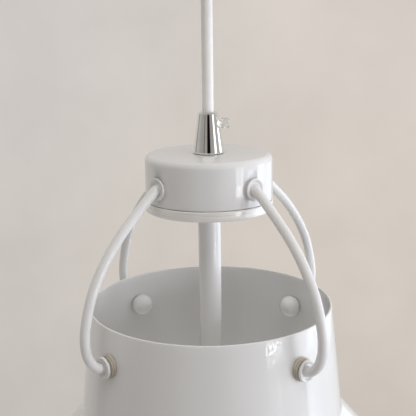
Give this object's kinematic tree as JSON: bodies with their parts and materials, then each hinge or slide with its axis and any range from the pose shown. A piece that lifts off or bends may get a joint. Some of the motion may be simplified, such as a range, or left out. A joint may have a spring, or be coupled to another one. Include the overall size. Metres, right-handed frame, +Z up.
{
  "type": "pendant lamp",
  "caption": "Pendant lamp shaped like a milk pail: open-necked white shade hung by bowed wire arms from a round cap, on a textile flex with a cord grip and ceiling rose.",
  "frame": {"origin": "the centre of the rose plate's upper face, where it meets the ceiling", "axes": "+Z up, out of the plate into the ceiling, along the flex and the lamp's axis; -Y is the front; the arms stand at 45 degrees to X and Y"},
  "size_m": [0.2616, 0.2616, 0.4784],
  "materials": {
    "white_enamel": "smooth glossy white enamel",
    "chrome": "polished chrome plating",
    "zinc_steel": "satin zinc-plated steel",
    "brass": "satin brass",
    "white_textile": "fine braided cotton sleeve, matt",
    "clear_nylon": "clear moulded nylon",
    "tan_nylon": "pale tan translucent nylon",
    "black_resin": "moulded black phenolic resin",
    "ceramic": "glazed cream ceramic",
    "opal_glass": "opal white glass",
    "brown_core": "soft brown wire sleeve",
    "blue_core": "soft blue wire sleeve",
    "green_core": "soft green wire sleeve"
  },
  "bodies": {
    "ceiling": {"ceiling_plate": "zinc_steel", "hat_bracket": "zinc_steel", "bracket_rivet_left": "zinc_steel", "bracket_rivet_right": "zinc_steel", "rose_cup": "white_enamel", "rose_tube": "zinc_steel", "rose_nut_upper": "zinc_steel", "rose_nut_lower": "zinc_steel", "rose_grip": "chrome", "terminal_block": "ceramic", "live_core": "brown_core", "neutral_core": "blue_core", "earth_core": "green_core", "flex_upper_tail": "white_textile"},
    "rose_screw": {"rose_grip_screw": "clear_nylon"},
    "flex": {"flex": "white_textile"},
    "lamp": {"cord_grip": "chrome", "top_cap": "white_enamel", "cap_base_plate": "white_enamel", "cap_tube": "zinc_steel", "cap_top_nut": "zinc_steel", "cap_base_nut": "zinc_steel", "stem_tube": "white_enamel", "flex_inner": "white_textile", "arm_1": "white_enamel", "upper_flange_1": "white_enamel", "arm_nut_1": "zinc_steel", "lower_flange_1": "white_enamel", "neck_spacer_1": "tan_nylon", "arm_2": "white_enamel", "upper_flange_2": "white_enamel", "arm_nut_2": "zinc_steel", "lower_flange_2": "white_enamel", "neck_spacer_2": "tan_nylon", "arm_3": "white_enamel", "upper_flange_3": "white_enamel", "arm_nut_3": "zinc_steel", "lower_flange_3": "white_enamel", "neck_spacer_3": "tan_nylon", "arm_4": "white_enamel", "upper_flange_4": "white_enamel", "arm_nut_4": "zinc_steel", "lower_flange_4": "white_enamel", "neck_spacer_4": "tan_nylon", "shade": "white_enamel", "holder_cap": "black_resin", "holder_body": "black_resin", "holder_insert": "ceramic", "holder_thread": "brass", "centre_contact": "brass"},
    "cord_screw": {"cord_grip_screw": "clear_nylon"},
    "bulb": {"bulb_foot": "black_resin", "bulb_cap": "brass", "bulb_glass": "opal_glass"},
    "ball_nut_1": {"ball_nut_1": "white_enamel"},
    "ball_nut_2": {"ball_nut_2": "white_enamel"},
    "ball_nut_3": {"ball_nut_3": "white_enamel"},
    "ball_nut_4": {"ball_nut_4": "white_enamel"}
  },
  "joints": [
    {"name": "flex_swing", "type": "hinge", "parent": "ceiling", "child": "flex", "pos_m": [0, 0, -0.0549], "axis": [0, 1, 0], "range_deg": [-15, 15]},
    {"name": "lamp_turn", "type": "hinge", "parent": "flex", "child": "lamp", "pos_m": [0, 0, -0.1449], "axis": [0, 0, 1], "range_deg": [-180, 180]},
    {"name": "rose_screw_turn", "type": "hinge", "parent": "ceiling", "child": "rose_screw", "pos_m": [0.008, 0, -0.048], "axis": [1, 0, 0], "range_deg": [0, 720]},
    {"name": "cord_screw_turn", "type": "hinge", "parent": "lamp", "child": "cord_screw", "pos_m": [0.008, 0, -0.1518], "axis": [1, 0, 0], "range_deg": [0, 720]},
    {"name": "bulb_turn", "type": "hinge", "parent": "lamp", "child": "bulb", "pos_m": [0, 0, -0.362], "axis": [0, 0, 1], "range_deg": [0, 720]},
    {"name": "ball_nut_1_turn", "type": "hinge", "parent": "lamp", "child": "ball_nut_1", "pos_m": [0.05006, 0.05006, -0.2827], "axis": [0.7071, 0.7071, 0], "range_deg": [0, 720]},
    {"name": "ball_nut_2_turn", "type": "hinge", "parent": "lamp", "child": "ball_nut_2", "pos_m": [-0.05006, 0.05006, -0.2827], "axis": [-0.7071, 0.7071, 0], "range_deg": [0, 720]},
    {"name": "ball_nut_3_turn", "type": "hinge", "parent": "lamp", "child": "ball_nut_3", "pos_m": [-0.05006, -0.05006, -0.2827], "axis": [-0.7071, -0.7071, 0], "range_deg": [0, 720]},
    {"name": "ball_nut_4_turn", "type": "hinge", "parent": "lamp", "child": "ball_nut_4", "pos_m": [0.05006, -0.05006, -0.2827], "axis": [0.7071, -0.7071, 0], "range_deg": [0, 720]}
  ]
}
